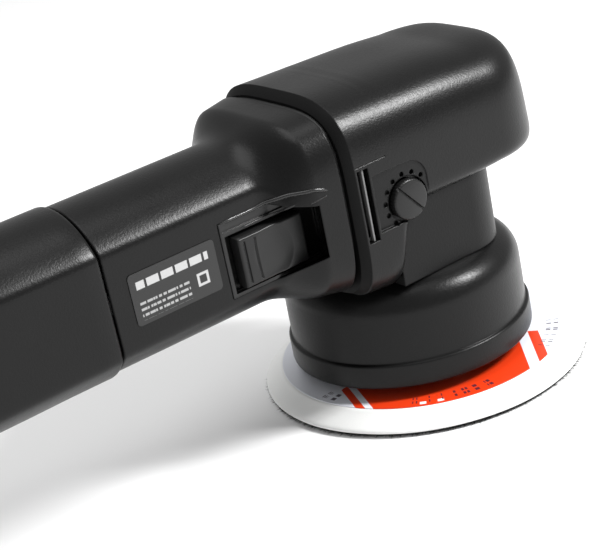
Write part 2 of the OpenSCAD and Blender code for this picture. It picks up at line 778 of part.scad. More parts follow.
module backing_stud() {
    color("#222326") translate([ecc, 0, 0]) {
        translate([0, 0, 5]) cylinder(r = 8, h = 1.6);
        translate([0, 0, 6.5]) cylinder(r = 5.5, h = 5.9);
        translate([0, 0, 12.3]) cylinder(r = 4, h = 14.2);
    }
}

module hub_washer() {
    color("#e6dca0") translate([ecc, 0, 9.55]) {
        tube(14.3, 5.55, 1.4);
        translate([0, 0, 1.3]) tube(9.6, 5.55, 1.5);
    }
}

module hub_ring() {
    color(steel) translate([ecc, 0, pad_h + 0.32]) difference() {
        tube(24.5, 5.55, 1.2);
        for (a = [0:60:300]) rotate([0, 0, a]) translate([20.5, 0, -1]) cylinder(r = 1.75, h = 4);
    }
}

module hub_rivets() {
    color(steel) translate([ecc, 0, 0]) for (a = [0:60:300]) rotate([0, 0, a]) translate([20.5, 0, 0]) {
        translate([0, 0, 5.2]) cylinder(r = 1.7, h = pad_h - 3.6);
        translate([0, 0, 5]) cylinder(r = 3, h = 0.7);
        translate([0, 0, pad_h + 1.54]) intersection() {
            translate([0, 0, -4.1]) sphere(r = 5.4);
            cylinder(r = 3.6, h = 2);
        }
    }
}

module backing_board() {
    color("#c8c0a0") translate([ecc, 0, 6]) difference() {
        tube(44, 8.1, pad_h - 6);
        for (a = [0:60:300]) rotate([0, 0, a]) translate([20.5, 0, -1]) cylinder(r = 1.75, h = 4);
    }
}

module pad_foam() {
    color("#f1f1ee") translate([ecc, 0, 0]) difference() {
        translate([0, 0, 1.52]) rotate_extrude() polygon([[0, 0], [pad_d / 2, 0], [pad_d / 2, 1.3],
            [pad_d / 2 - 1, 2.3], [pad_top_d / 2, pad_h - 1.52], [0, pad_h - 1.52]]);
        translate([0, 0, 4.9]) cylinder(r = 8.3, h = 9);
        translate([0, 0, 5.98]) cylinder(r = 44.02, h = 9);
        for (a = [0:60:300]) rotate([0, 0, a]) translate([20.5, 0, 4.9]) cylinder(r = 3.1, h = 9);
    }
}

module pad_label() {
    color("#f4551e") translate([ecc, 0, pad_h + 0.02]) difference() {
        tube(pad_top_d / 2 - 0.2, 8, 0.28);
        for (a = [0:60:300]) rotate([0, 0, a]) translate([20.5, 0, -1]) cylinder(r = 1.75, h = 4);
    }
}

module hook_disc() {
    color("#17171a") translate([ecc, 0, 0]) cylinder(r = pad_d / 2, h = 1.5);
}

motor_housing();
rear_handle();
end_cap();
cable_inlet();
cable_clamp();
head_cover();
gear_case();
bearing_plate();
plate_screws();
skirt();
spindle_seal();
vent_grilles();
rating_plate();
switch_frame();
switch_slider();
switch_rod();
switch_block();
speed_dial();
potentiometer();
speed_module();
stator_core();
stator_coils();
fan_baffle();
front_bearing();
rear_bearing();
bearing_sleeve();
brush_holders();
carbon_brushes();
brush_springs();
brush_caps();
armature_shaft();
armature_core();
armature_windings();
commutator();
cooling_fan();
pinion();
pinion_nut();
drive_spindle();
crown_gear();
gear_clip();
upper_bearing();
lower_bearing();
counterweight();
weight_screws();
eccentric_bearings();
bearing_clip();
pad_spindle();
backing_stud();
hub_washer();
hub_ring();
hub_rivets();
backing_board();
pad_foam();
pad_label();
hook_disc();
case_gasket();
housing_screws();
cover_screws();
handle_screws();
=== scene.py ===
import math

import bmesh
import bpy
import numpy as np
from mathutils import Matrix, Vector


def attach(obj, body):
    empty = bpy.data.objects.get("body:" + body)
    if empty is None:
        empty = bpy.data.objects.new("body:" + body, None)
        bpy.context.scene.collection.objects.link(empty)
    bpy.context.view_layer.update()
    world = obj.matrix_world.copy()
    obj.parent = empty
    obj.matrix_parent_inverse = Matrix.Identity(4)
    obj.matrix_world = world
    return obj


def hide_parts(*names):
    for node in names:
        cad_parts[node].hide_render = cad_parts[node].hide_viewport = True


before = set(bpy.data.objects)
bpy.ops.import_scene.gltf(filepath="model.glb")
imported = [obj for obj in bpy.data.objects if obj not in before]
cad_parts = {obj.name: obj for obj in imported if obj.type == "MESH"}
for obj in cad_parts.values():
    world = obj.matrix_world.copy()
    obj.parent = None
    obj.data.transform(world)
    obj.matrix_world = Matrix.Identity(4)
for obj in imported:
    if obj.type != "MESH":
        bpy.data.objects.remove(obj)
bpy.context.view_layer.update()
MM = 0.001


# ---- Camera, floor and studio light ----
# The tool stands on its pad on a pale table. The light is soft all round, with one large
# soft box to the front right and above, and a second one over the handle.

camera_data = bpy.data.cameras.new("camera")
camera_data.lens = 106.06
camera_data.sensor_width = 36
camera_data.clip_end = 20
camera = bpy.data.objects.new("camera", camera_data)
bpy.context.scene.collection.objects.link(camera)
# Rows: to the right of the view, up in the view, and back towards the camera.
camera_axes = Matrix(((0.789, -0.5844, -0.1899), (0.3758, 0.2144, 0.9016),
                      (-0.4861, -0.7827, 0.3887)))
camera.matrix_world = Matrix.Translation((-0.3557, -0.4988, 0.3039)) @ camera_axes.transposed().to_4x4()
bpy.context.scene.camera = camera
bpy.context.scene.view_settings.view_transform = "Standard"


class Socket:
    """One output of a node. Arithmetic and comparison on it add Math nodes."""

    def __init__(self, finish, output):
        self.finish, self.output = finish, output

    def sum(self, operation, a, b):
        return self.finish.maths(operation, a, b)

    def __add__(self, other):
        return self.sum("ADD", self, other)

    def __sub__(self, other):
        return self.sum("SUBTRACT", self, other)

    def __rsub__(self, other):
        return self.sum("SUBTRACT", other, self)

    def __mul__(self, other):
        return self.sum("MULTIPLY", self, other)

    def __truediv__(self, other):
        return self.sum("DIVIDE", self, other)

    def __gt__(self, other):
        return self.sum("GREATER_THAN", self, other)

    def __lt__(self, other):
        return self.sum("LESS_THAN", self, other)

    __radd__, __rmul__ = __add__, __mul__


class Finish:
    """A material on its Principled shader. Places on it are in millimetres of the tool."""

    def __init__(self, name, **constants):
        self.material = bpy.data.materials.new(name)
        self.material.use_nodes = True
        self.tree = self.material.node_tree
        self.shader = self.tree.nodes["Principled BSDF"]
        for socket, value in constants.items():
            self.shader.inputs[socket.replace("_", " ")].default_value = value
        place = self.node("TexCoord", out="Object")
        self.mm = self.node("VectorMath", {"operation": "SCALE"}, {0: place, "Scale": 1000})

    def node(self, kind, settings=None, inputs=None, out=0):
        made = self.tree.nodes.new("ShaderNode" + kind)
        for setting, value in (settings or {}).items():
            setattr(made, setting, value)
        for key, value in (inputs or {}).items():
            self.join(value, made.inputs[key])
        return Socket(self, made.outputs[out])

    def join(self, value, socket):
        if isinstance(value, Socket):
            self.tree.links.new(value.output, socket)
        else:
            socket.default_value = value

    def noise(self, size, detail=2, stretch=(1, 1, 1)):
        """Noise from 0 to 1 with features about size millimetres across, longer along stretch."""
        scaled = self.node("VectorMath", {"operation": "DIVIDE"}, {0: self.mm, 1: stretch})
        return self.node("TexNoise", None, {"Vector": scaled, "Scale": 1 / size, "Detail": detail})

    def maths(self, operation, *values):
        """One output of a Math node that has no Python operator."""
        return self.node("Math", {"operation": operation}, dict(enumerate(values)))

    def axes(self):
        split = self.node("SeparateXYZ", None, {0: self.mm})
        return [Socket(self, output) for output in split.output.node.outputs]

    def mix(self, share, a, b):
        return self.node("Mix", {"data_type": "RGBA"}, {0: share, 6: a, 7: b}, out=2)

    def between(self, value, low, high, soft=0.1):
        """1 where value lies from low to high, with edges soft millimetres wide."""
        up = self.node("MapRange", None, {0: value, 1: low - soft, 2: low + soft, 3: 0.0, 4: 1.0})
        down = self.node("MapRange", None, {0: value, 1: high - soft, 2: high + soft, 3: 1.0, 4: 0.0})
        return up * down

    def bump(self, height, depth, strength=1.0, round_edges=0.0):
        """Surface relief of depth millimetres, over edges rounded by round_edges millimetres."""
        inputs = {"Height": height, "Distance": depth * MM, "Strength": strength}
        if round_edges:
            inputs["Normal"] = self.node("Bevel", {"samples": 6}, {"Radius": round_edges * MM})
        self.finish(Normal=self.node("Bump", None, inputs))

    def finish(self, **links):
        for socket, value in links.items():
            self.join(value, self.shader.inputs[socket.replace("_", " ")])


def grey(level, warm=0.0):
    return (level * (1 + warm), level, level * (1 - warm), 1)


table = Finish("table_top", Roughness=0.6)
table.finish(Base_Color=table.mix(table.noise(90), grey(0.86), grey(0.9)))
table_mesh = bpy.data.meshes.new("table_top")
REACH = 6
table_mesh.from_pydata([(-REACH, -REACH, 0), (REACH, -REACH, 0), (REACH, REACH, 0), (-REACH, REACH, 0)],
                       [], [(0, 1, 2, 3)])
table_mesh.materials.append(table.material)
floor = bpy.data.objects.new("floor", table_mesh)
bpy.context.scene.collection.objects.link(floor)

world = bpy.data.worlds.new("studio")
world.use_nodes = True
world.node_tree.nodes["Background"].inputs["Color"].default_value = grey(1.0)
world.node_tree.nodes["Background"].inputs["Strength"].default_value = 0.5
bpy.context.scene.world = world
TOOL_CENTRE = Vector((-0.06, 0, 0.07))
# name, place in metres, width and height in metres, watts
SOFT_BOXES = [("key", (0.62, -0.66, 0.92), (0.2, 0.38), 25),
              ("over", (-0.15, 0.12, 1.5), (1.1, 1.1), 11)]
for name, place, size, power in SOFT_BOXES:
    light = bpy.data.lights.new(name, "AREA")
    light.shape, light.size, light.size_y, light.energy = "RECTANGLE", size[0], size[1], power
    lamp = bpy.data.objects.new(name, light)
    aim = TOOL_CENTRE - Vector(place)
    lamp.matrix_world = Matrix.Translation(place) @ aim.to_track_quat("-Z", "Y").to_matrix().to_4x4()
    bpy.context.scene.collection.objects.link(lamp)


# ---- Motor housing ----
# One moulding of black glass-filled nylon with a spark-eroded grain. A barrel with flat sides
# swells behind the head into a shelf and a flange that the head cover's gasket sits on.

AXIS_Z = 86
SEAM_X = -132
SWELL_X = -73
SHELF_X = -53
FLANGE_X = -44
BARREL_R = 30
BARREL_FLAT = 24
EDGE = 0.4
# half width, height up, its power, height down, its power
BARREL = (BARREL_R, BARREL_R, 2, BARREL_R, 2)
SHELF = (36.2, 33.6, 4.0, 33.4, 3.8)
FLANGE = (37.2, 34.3, 4.4, 34.3, 4.2)


def moulded(name, level, rough, grain=0.11, round_edges=0.7, specular=0.26):
    """Black moulded plastic: fine spark grain, a little cloudiness, and softened edges."""
    plastic = Finish(name, IOR=1.46, Specular_IOR_Level=specular)
    fine = plastic.noise(0.55, 1) * 0.5 + plastic.noise(1.0, 1) * 0.5
    cloud = plastic.noise(14, 2)
    plastic.finish(Base_Color=plastic.mix(fine * 0.5 + cloud * 0.5, grey(level * 0.7), grey(level * 1.5)),
                   Roughness=rough - 0.08 + fine * 0.16 + cloud * 0.06)
    plastic.bump(fine, grain, 1.0, round_edges)
    return plastic.material


def ring(x, half_width, up, up_power, down, down_power, centre_z, flat=None, lean=0.0):
    """Points round a rounded cross-section at x. A flat cuts its sides, and lean tips it back."""
    turn = np.radians(np.arange(0, 360, 2))
    c, s = np.abs(np.cos(turn)), np.sin(turn)
    height, power = np.where(s >= 0, up, down), np.where(s >= 0, up_power, down_power)
    r = ((c / half_width) ** power + (np.abs(s) / height) ** power) ** (-1 / power)
    if flat:
        r = (r ** -70.0 + (flat / np.maximum(c, 1e-3)) ** -70.0) ** (-1 / 70)
    return np.stack([x - lean * r * s, r * np.cos(turn), centre_z + r * s], axis=1)


def loft(rings):
    """Points and faces of a body through rings of equal count, closed flat at both ends."""
    n, last = len(rings[0]), len(rings) - 1
    faces = [(i * n + j, i * n + (j + 1) % n, (i + 1) * n + (j + 1) % n, (i + 1) * n + j)
             for i in range(last) for j in range(n)]
    ends = [tuple(range(n - 1, -1, -1)), tuple(last * n + j for j in range(n))]
    return np.concatenate(rings), faces + ends


def join_up(*parts):
    """Several (points, faces) as one."""
    points, faces, start = [], [], 0
    for some, sides in parts:
        points.append(np.asarray(some, float))
        faces += [tuple(start + i for i in side) for side in sides]
        start += len(some)
    return np.concatenate(points), faces


BLOCK_FACES = [(0, 1, 3, 2), (4, 6, 7, 5), (0, 4, 5, 1), (2, 3, 7, 6), (0, 2, 6, 4), (1, 5, 7, 3)]


def block(x0, x1, y0, y1, z0, z1):
    return [(x, y, z) for x in (x0, x1) for y in (y0, y1) for z in (z0, z1)], BLOCK_FACES


def mesh_of(name, shape, sharp=38):
    """A mesh from points in millimetres, smooth except at edges sharper than sharp degrees."""
    points, faces = shape
    mesh = bpy.data.meshes.new(name)
    mesh.from_pydata([tuple(float(v) * MM for v in p) for p in points], [], faces)
    shaped = bmesh.new()
    shaped.from_mesh(mesh)
    bmesh.ops.remove_doubles(shaped, verts=shaped.verts, dist=1e-7)
    bmesh.ops.recalc_face_normals(shaped, faces=shaped.faces)
    shaped.to_mesh(mesh)
    shaped.free()
    mesh.shade_smooth()
    mesh.set_sharp_from_angle(angle=math.radians(sharp))
    return mesh


def piece(name, shape, material, body, slot, *nodes, cuts=None, bevel=0.0, steps=3, sharp=38, narrow=30):
    """A visible piece: its mesh less its cuts, edges rounded by bevel, standing for CAD nodes."""
    made = bpy.data.objects.new(name, mesh_of(name, shape, sharp))
    bpy.context.scene.collection.objects.link(made)
    if cuts:
        tool = bpy.data.objects.new(name + "_cuts", mesh_of(name + "_cuts", cuts))
        bpy.context.scene.collection.objects.link(tool)
        less = made.modifiers.new("cuts", "BOOLEAN")
        less.object, less.operation, less.solver, less.use_self = tool, "DIFFERENCE", "EXACT", True
    if bevel:
        rounded = made.modifiers.new("edges", "BEVEL")
        rounded.width, rounded.segments, rounded.limit_method = bevel * MM, steps, "ANGLE"
        rounded.angle_limit = math.radians(narrow)
    if cuts or bevel:
        shaped = made.evaluated_get(bpy.context.evaluated_depsgraph_get())
        solid = bpy.data.meshes.new_from_object(shaped)
        made.modifiers.clear()
        made.data = solid
        solid.shade_smooth()
        solid.set_sharp_from_angle(angle=math.radians(sharp))
    if cuts:
        bpy.data.objects.remove(tool)
    made.data.materials.clear()
    made.data.materials.append(material)
    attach(made, body)
    if nodes:
        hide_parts(*nodes)
    return made


def housing_ring(x):
    """The barrel up to SWELL_X, then its swell to the shelf, then the flange."""
    share = min(max((x - SWELL_X) / (SHELF_X - SWELL_X), 0), 1)
    swell = math.sin(math.pi / 2 * share ** 1.7) ** 2
    to_flange = min(max((x - SHELF_X) / (FLANGE_X - SHELF_X), 0), 1)
    sizes = [b * (1 - swell) + s * swell for b, s in zip(BARREL, SHELF)]
    sizes = [s * (1 - to_flange) + f * to_flange for s, f in zip(sizes, FLANGE)]
    flat = BARREL_FLAT * (1 - swell) + 60 * swell if swell < 1 else None
    return ring(x, *sizes, AXIS_Z + 2 * swell, flat)


black_plastic = moulded("black_nylon", 0.0042, 0.28, 0.07, 0.7, 0.22)
stations = ([SEAM_X + EDGE, -120, -100, -85, -76] + list(np.arange(SWELL_X, SHELF_X, 0.8))
            + [SHELF_X, -50, -47, -44.3])
seam_sizes = [size - EDGE if size > 2 else size for size in BARREL]
housing = loft([ring(SEAM_X, *seam_sizes, AXIS_Z, BARREL_FLAT - EDGE)]
               + [housing_ring(x) for x in stations] + [ring(FLANGE_X, 36.9, 34, 4.4, 34, 4.2, 88)])
RECESS_BACK = -87.4
# depth, front, lowest and highest edge
RECESS = [(-22.8, -46.2, 70.2, 97.8), (-25, -46.2, 70.2, 97.8), (-45, -60.1, 78.8, 91.4)]
recess = [np.array([(front, y, low), (front, y, high), (RECESS_BACK, y, high), (RECESS_BACK, y, low)])
          for y, front, low, high in RECESS]
switch_seat = join_up(loft(recess), block(-84.8, -47.4, -23.5, -21.3, 72, 92))
piece("motor_shell", housing, black_plastic, "housing", "moulded_plastic", "motor_housing",
      cuts=switch_seat)


# ---- Rear handle ----
# A second moulding of the same nylon, a little fuller than the barrel where the palm lies.
# It butts against the motor housing with a crisp rim and is held by four long screws.

# x, and how much fuller than the barrel
HANDLE = [(-286, -0.6), (-283, -0.2), (-270, 0.6), (-250, 1.1), (-230, 1.4), (-205, 1.5), (-180, 1.4),
          (-165, 1.3), (-150, 1.1), (-140, 1.1), (-134.2, 1.1), (-133.5, 0.95), (-133.05, 0.5),
          (-132.7, -0.2)]


def barrel_ring(x, grown):
    """The barrel's section, grown all round."""
    size = BARREL_R + grown
    return ring(x, size, size, 2, size, 2, AXIS_Z, BARREL_FLAT + grown)


piece("handle_shell", loft([barrel_ring(x, grown) for x, grown in HANDLE]), black_plastic,
      "housing", "moulded_plastic", "rear_handle")


# ---- End cap, cable inlet and clamp ----
# The cap closes the handle's back end and draws the cooling air in through slots round the
# inlet. The inlet is a short rubber gland, and a bar clamp holds the cable behind it.

CAP = [(-297.3, -8.0), (-297.2, -7.0), (-296.8, -6.0), (-296, -5.1), (-294.5, -4.0), (-292.3, -2.5),
       (-289, -1.4), (-287, -1.0), (-286.2, -0.9)]
SLOT_INNER, SLOT_OUTER, SCREW_HOLE_R, INLET_HOLE_R = 12, 17.5, 3.3, 7.3
slots = []
for turn in range(20, 360, 20):
    if abs(turn - 180) > 30:
        a = math.radians(turn)
        along, across = np.array([0, math.cos(a), math.sin(a)]), np.array([0, -math.sin(a), math.cos(a)])
        corners = [np.array([x, 0, AXIS_Z]) + along * r + across * w
                   for x in (-300, -290) for r in (SLOT_INNER, SLOT_OUTER) for w in (-1, 1)]
        slots.append((corners, BLOCK_FACES))
for y in (-11, 11):
    for z in (-21.5, 21.5):
        a = np.radians(np.arange(0, 360, 15))
        hole = (y + SCREW_HOLE_R * np.cos(a), AXIS_Z + z + SCREW_HOLE_R * np.sin(a))
        rim = [np.stack([np.full(24, x), *hole], 1) for x in (-300, -291.1)]
        slots.append(loft(rim))
a = np.radians(np.arange(0, 360, 6))
slots.append(loft([np.stack([np.full(60, x), INLET_HOLE_R * np.cos(a), AXIS_Z + INLET_HOLE_R * np.sin(a)], 1)
                   for x in (-300, -288)]))
piece("cap_shell", loft([barrel_ring(x, grown) for x, grown in CAP]), moulded("cap_nylon", 0.006, 0.4),
      "housing", "dark_plastic", "end_cap", cuts=join_up(*slots))


def dress(material, *nodes):
    """Gives CAD nodes that show as they are a finish of their own."""
    for node in nodes:
        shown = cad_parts[node]
        if not shown.material_slots:
            shown.data.materials.append(material)
        for held in shown.material_slots:
            held.material = material


rubber = Finish("inlet_rubber", Specular_IOR_Level=0.3)
rubber.finish(Base_Color=rubber.mix(rubber.noise(3), grey(0.008), grey(0.02)),
              Roughness=0.62 + rubber.noise(0.8) * 0.15)
rubber.bump(rubber.noise(0.5), 0.02)
dress(rubber.material, "cable_inlet", "cable_clamp", "case_gasket", "spindle_seal")


# ---- Head cover ----
# The big moulded cover over the gear case: a squared hood with a rounded nose, a raised rim
# at the back, and two cheeks that reach down beside the neck. One piece, screwed from below.

HEAD_Z = 92
NOSE_X = 55
NOSE_R = 27
HOOD_HALF = 38.7
NOSE_UP = 31.3
# x, half width, height up, its power, height down, its power
HOOD = [(-39, HOOD_HALF, 33.8, 3.6, 40.7, 6), (-28, HOOD_HALF, 33.5, 3.6, 40.9, 7),
        (-25.2, HOOD_HALF, 33.45, 3.6, 39.7, 7), (-23.4, HOOD_HALF, 33.4, 3.6, 36, 7),
        (-22.4, HOOD_HALF, 33.4, 3.6, 31, 7), (-21.2, HOOD_HALF, 33.35, 3.6, 26, 7),
        (-19.8, HOOD_HALF, 33.3, 3.6, 21.6, 7), (-17.6, HOOD_HALF, 33.3, 3.6, 18, 6),
        (-14.5, HOOD_HALF, 33.2, 3.6, 15.4, 6), (-10, HOOD_HALF, 33.1, 3.6, 14, 6),
        (10, HOOD_HALF, 32.6, 3.6, 14, 6), (28, HOOD_HALF, NOSE_UP, 3.6, 14, 5)]


def smoothly(x, rows):
    """Values at x on curves through rows of (x, value, ...) that never overshoot a row."""
    table = np.array(rows, float)
    xs, ys = table[:, 0], table[:, 1:]
    gap = np.diff(xs)[:, None]
    slope = np.diff(ys, axis=0) / gap
    same = slope[:-1] * slope[1:] > 0
    inner = np.where(same, 2 * slope[:-1] * slope[1:] / np.where(same, slope[:-1] + slope[1:], 1), 0)
    tangent = np.vstack([slope[:1], inner, slope[-1:]])
    i = int(np.clip(np.searchsorted(xs, x) - 1, 0, len(xs) - 2))
    t, g = (x - xs[i]) / gap[i, 0], gap[i, 0]
    return ((2 * t**3 - 3 * t**2 + 1) * ys[i] + (t**3 - 2 * t**2 + t) * g * tangent[i]
            + (3 * t**2 - 2 * t**3) * ys[i + 1] + (t**3 - t**2) * g * tangent[i + 1])


def nose_ring(turn):
    """The hood's front, from its full width round to the flat of its face."""
    u, w = math.sin(turn), math.cos(turn)
    fall = math.sqrt(max(1 - u**6, 0))
    return ring(NOSE_X - NOSE_R + NOSE_R * u, HOOD_HALF - NOSE_R + NOSE_R * w, NOSE_UP - 15 * (1 - fall),
                3.6, 14 * (0.5 + 0.5 * fall), 5, HEAD_Z, lean=0.09 * u)


def rod(centre, radius, start, end, axis=1, count=48):
    """A plain pin along an axis, for cuts and small round details."""
    turn = np.radians(np.arange(0, 360, 360 / count))
    across = [i for i in range(3) if i != axis]
    rims = []
    for at in (start, end):
        rim = np.zeros((count, 3))
        rim[:, axis] = at
        rim[:, across[0]] = centre[0] + radius * np.cos(turn)
        rim[:, across[1]] = centre[1] + radius * np.sin(turn)
        rims.append(rim)
    return loft(rims)


DIAL_X, DIAL_Z = -18.2, 83.4
DIMPLE_RING_R, DIMPLE_R, DIMPLE_STEP = 9.5, 0.9, 25.9
KNOB_HOLE_R = 8.3
PANEL_Y, PANEL_BACK = -37.0, -32.4
OUTSIDE_Y = -45
NOSE_TURNS = [0, 6, 12, 18, 24, 30, 35, 40, 45, 50, 55, 60, 64, 68, 72, 76, 80, 84, 87, 90]
xs = [-39, -38.6] + list(np.arange(-38, -26, 2)) + list(np.arange(-26, -9, 0.5)) + [-6, 0, 6, 12, 18, 24]
hood = loft([ring(x, *smoothly(x, HOOD), HEAD_Z) for x in xs]
            + [nose_ring(math.radians(t)) for t in NOSE_TURNS])
corner = [(-17 + 8 * math.cos(t), 89 + 8 * math.sin(t)) for t in np.radians(np.arange(0, 91, 7.5))]
outline = [(PANEL_BACK, 76), (-9, 76)] + corner + [(PANEL_BACK, 97)]
panel = loft([np.array([(x, y + slope * (x - PANEL_BACK), z) for x, z in outline])
              for y, slope in ((OUTSIDE_Y, 0), (PANEL_Y, -0.055))])
dimples = []
for i in range(8):
    turn = math.radians(44 + DIMPLE_STEP * i)
    centre = (DIAL_X + DIMPLE_RING_R * math.cos(turn), DIAL_Z + DIMPLE_RING_R * math.sin(turn))
    dimples.append(rod(centre, DIMPLE_R, OUTSIDE_Y, PANEL_Y + 0.8, count=20))
vents = [block(-38.2, -33.4, y, y + 12, 73.8, 100.8) for y in (OUTSIDE_Y, 33)]
piece("hood_shell", hood, black_plastic, "housing", "moulded_plastic", "head_cover",
      cuts=join_up(panel, *dimples, *vents, rod((DIAL_X, DIAL_Z), KNOB_HOLE_R, OUTSIDE_Y, -35.6),
                   block(-38.9, -25.2, OUTSIDE_Y, -38.25, 101.95, 102.4)))
rim = loft([ring(x, half, up, 3.6, down, 5.6, HEAD_Z) for x, half, up, down in
            ((-42, 36.6, 30.8, 39.2), (-41.8, 36.8, 31, 39.3), (-39.2, 38.65, 33.7, 40.6),
             (-39, HOOD_HALF, 33.8, 40.7))])
piece("hood_rim", rim, moulded("rim_nylon", 0.004, 0.5, 0.02, 0.0, 0.1), "housing", "moulded_plastic")


# ---- Neck ----
# Below the hood the gear case is an aluminium casting, painted black where its neck shows.
# A thin moulded sleeve wraps the neck from the skirt up to the hood.

NECK_HALF, NECK_FRONT, NECK_CORNER = 35.1, 31.1, 20
corner = [(NECK_FRONT - NECK_CORNER * (1 - math.cos(t)), NECK_HALF - NECK_CORNER * (1 - math.sin(t)))
          for t in np.radians(np.arange(0, 91, 3))]
half = corner + [(-4, NECK_HALF), (-24, NECK_HALF)]
plan = [(x, -y) for x, y in reversed(half)] + half
piece("neck_sleeve", loft([np.array([(x, y, z) for x, y in plan]) for z in (51.05, 65, 80)]),
      moulded("neck_paint", 0.006, 0.36, 0.08, 0.7, 0.16), "housing", "moulded_plastic")

cast = Finish("cast_aluminium", Metallic=1.0)
cast.finish(Base_Color=cast.mix(cast.noise(2.5, 4), grey(0.32), grey(0.55)),
            Roughness=0.42 + cast.noise(0.9, 4) * 0.25)
cast.bump(cast.noise(0.7, 4), 0.06, 0.8)
dress(cast.material, "gear_case", "bearing_plate")


# ---- Skirt ----
# A turned-looking nylon guard round the spinning counterweight. It has a soft shoulder, a
# low bead, and a small step above its bottom edge, and is clamped under the gear case.

SKIRT_R, SKIRT_LOW, SKIRT_TOP = 46.6, 13, 51
SHOULDER_R = 11
shoulder = [(SKIRT_R - 12.3 + SHOULDER_R * math.cos(t), SKIRT_TOP - SHOULDER_R + SHOULDER_R * math.sin(t))
            for t in np.radians(np.arange(0, 91, 6))]
ledge = [(SKIRT_R - 1.0 + math.cos(t), SKIRT_LOW + 8.7 + 0.9 * math.sin(t))
         for t in np.radians(np.arange(0, 91, 15))]
skirt_side = ([(SKIRT_R - 3.2, SKIRT_LOW), (SKIRT_R - 1.1, SKIRT_LOW), (SKIRT_R - 0.5, SKIRT_LOW + 0.15),
               (SKIRT_R - 0.12, SKIRT_LOW + 0.55), (SKIRT_R, SKIRT_LOW + 1.2)] + ledge
              + [(SKIRT_R - 1.25, SKIRT_LOW + 9.7), (SKIRT_R - 1.25, 32)] + shoulder
              + [(26.6, SKIRT_TOP), (26.6, 49.6), (SKIRT_R - 8.5, 49.6), (SKIRT_R - 6.4, 46.4),
                 (SKIRT_R - 4.2, 43)])


def turned(profile, centre_x=0.0, count=192):
    """Points and faces of a closed profile of (radius, height) turned about a vertical axis."""
    turn = np.arange(count) * 2 * math.pi / count
    n = len(profile)
    points = [(centre_x + r * math.cos(t), r * math.sin(t), z) for t in turn for r, z in profile]
    faces = [(i * n + j, after * n + j, after * n + (j + 1) % n, i * n + (j + 1) % n)
             for i, after in zip(range(count), [*range(1, count), 0]) for j in range(n)]
    return points, faces


piece("skirt_shell", turned(skirt_side), black_plastic, "housing", "moulded_plastic", "skirt", sharp=30)


# ---- Vent grilles ----
# A small frame pressed into each side's air slot, with one upright rib. Its pale grey colour is painted
# highlight, standing in for the light the rib catches.

# Painted highlight: the grille's colour is a pale grey so that the rib shows as a bright line.
painted_glint_grille = moulded("vent_nylon_painted_highlight", 0.1, 0.3, 0.004, 0.0, 0.6)
for side, label in ((-1, "right"), (1, "left")):
    bars = [block(-38.1, -33.5, side * 35.6 - 0.5, side * 35.6 + 0.5, 73.9, 75),
            block(-38.1, -33.5, side * 35.6 - 0.5, side * 35.6 + 0.5, 99.6, 100.7),
            block(-35.8, -35.0, side * 37.2 - 0.8, side * 37.2 + 0.8, 73.9, 100.7)]
    piece("vent_" + label, join_up(*bars), painted_glint_grille, "housing", "dark_plastic",
          *(["vent_grilles"] if side < 0 else []), bevel=0.18)


# ---- Rating plate ----
# A thin dark film label on the barrel's flat side, printed in pale ink with a generic bar,
# a square mark and rows of small dashes in place of words.

PLATE_X, PLATE_Z, PLATE_W, PLATE_H = -124.6, 75.8, 34.2, 18.4
PLATE_CORNER, LINE_PITCH, BAR_PITCH = 1.5, 2.1, 5.7
film = Finish("label_film", IOR=1.5)
x, y, z = film.axes()
u, v = x - PLATE_X, z - PLATE_Z
dash_place = film.node("CombineXYZ", None, {0: u * 1.1, 1: film.maths("FLOOR", v / LINE_PITCH)})
dash = film.node("TexNoise", {"noise_dimensions": "2D"}, {"Vector": dash_place, "Scale": 1.0, "Detail": 0.0})
line = film.maths("FRACT", v / LINE_PITCH)
rows = (dash > 0.42) * film.between(line, 0.3, 0.72, 0.04)
rows = rows * film.between(u, 2.5, 22) * film.between(v, 1.5, 8.2)
bar = film.between(v, 12.4, 15.2) * film.between(u, 2.5, 31)
bar = bar * (film.maths("FRACT", u / BAR_PITCH) > 0.16)
square_inside = film.between(u, 26.1, 28.9) * film.between(v, 5.1, 7.9)
square = film.between(u, 25.2, 29.8) * film.between(v, 4.2, 8.8) * (1 - square_inside)
ink = film.node("Clamp", None, {0: rows * 0.75 + bar + square})
film.finish(Base_Color=film.mix(ink, grey(0.005), grey(0.42)),
            Roughness=0.34 + ink * 0.15 + film.noise(1) * 0.06)
film.bump(film.noise(5), 0.02)
corners = []
left, right = PLATE_X + PLATE_CORNER, PLATE_X + PLATE_W - PLATE_CORNER
low, high = PLATE_Z + PLATE_CORNER, PLATE_Z + PLATE_H - PLATE_CORNER
for cx, cz, start in ((right, high, 0), (left, high, 90), (left, low, 180), (right, low, 270)):
    corners += [(cx + PLATE_CORNER * math.cos(t), cz + PLATE_CORNER * math.sin(t))
                for t in np.radians(np.arange(start, start + 91, 15))]
piece("rating_film", loft([np.array([(px, y, pz) for px, pz in corners]) for y in (-23.9, -24.3)]),
      film.material, "housing", "label_film", "rating_plate")


# ---- Slide switch ----
# A bezel pressed into the housing, and a slider with a thumb hollow and two grip grooves.
# Pushed forward, the slider pulls a steel rod that works the switch in the handle.

bezel = block(-87.3, -46.3, -24.3, -22.9, 70.3, 97.7)
BEAD_STEPS = 90
opening = join_up(block(-85.8, -47.2, -27, -20, 71.5, 92.6), block(-86.4, -47, -26, -23.4, 94.2, 97.0))
piece("switch_bezel", bezel, moulded("bezel_nylon", 0.006, 0.3, 0.005, 0.0, 0.4), "housing",
      "moulded_plastic", "switch_frame", cuts=opening, bevel=0.25)


def on_housing(x, z):
    """The depth of the motor housing's right side at x and height z."""
    around = housing_ring(x)
    side = around[around[:, 1] < 0]
    order = np.argsort(side[:, 2])
    return float(np.interp(z, side[order, 2], side[order, 1]))


